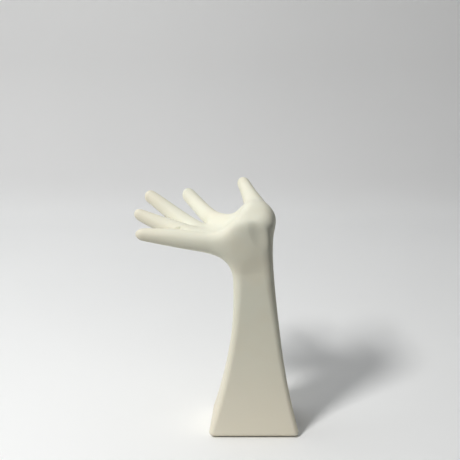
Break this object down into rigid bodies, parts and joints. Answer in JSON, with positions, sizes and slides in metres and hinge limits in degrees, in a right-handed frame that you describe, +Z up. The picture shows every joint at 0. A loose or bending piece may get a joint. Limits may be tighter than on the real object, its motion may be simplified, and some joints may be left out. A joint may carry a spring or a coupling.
{
  "type": "hand sculpture",
  "caption": "Matte ceramic right hand standing on its own flared forearm, bent level with the palm up and the fingers spread, with a hollow forearm closed by a plate and felt.",
  "frame": {"origin": "middle of the forearm's axis on the table, under the felt", "axes": "+Z up the forearm, -X the way the little finger points, +Y the way the thumb points, away from the side shown in the picture"},
  "size_m": [0.1449, 0.1112, 0.2114],
  "materials": {
    "bisque": "matte, unglazed and very smooth, with a few pin-size pits",
    "felt": "short dense felt"
  },
  "bodies": {
    "root": {"forearm": "bisque", "palm": "bisque", "thumb": "bisque", "index_finger": "bisque", "middle_finger": "bisque", "ring_finger": "bisque", "little_finger": "bisque", "base_plate": "bisque", "felt": "felt"}
  },
  "joints": []
}
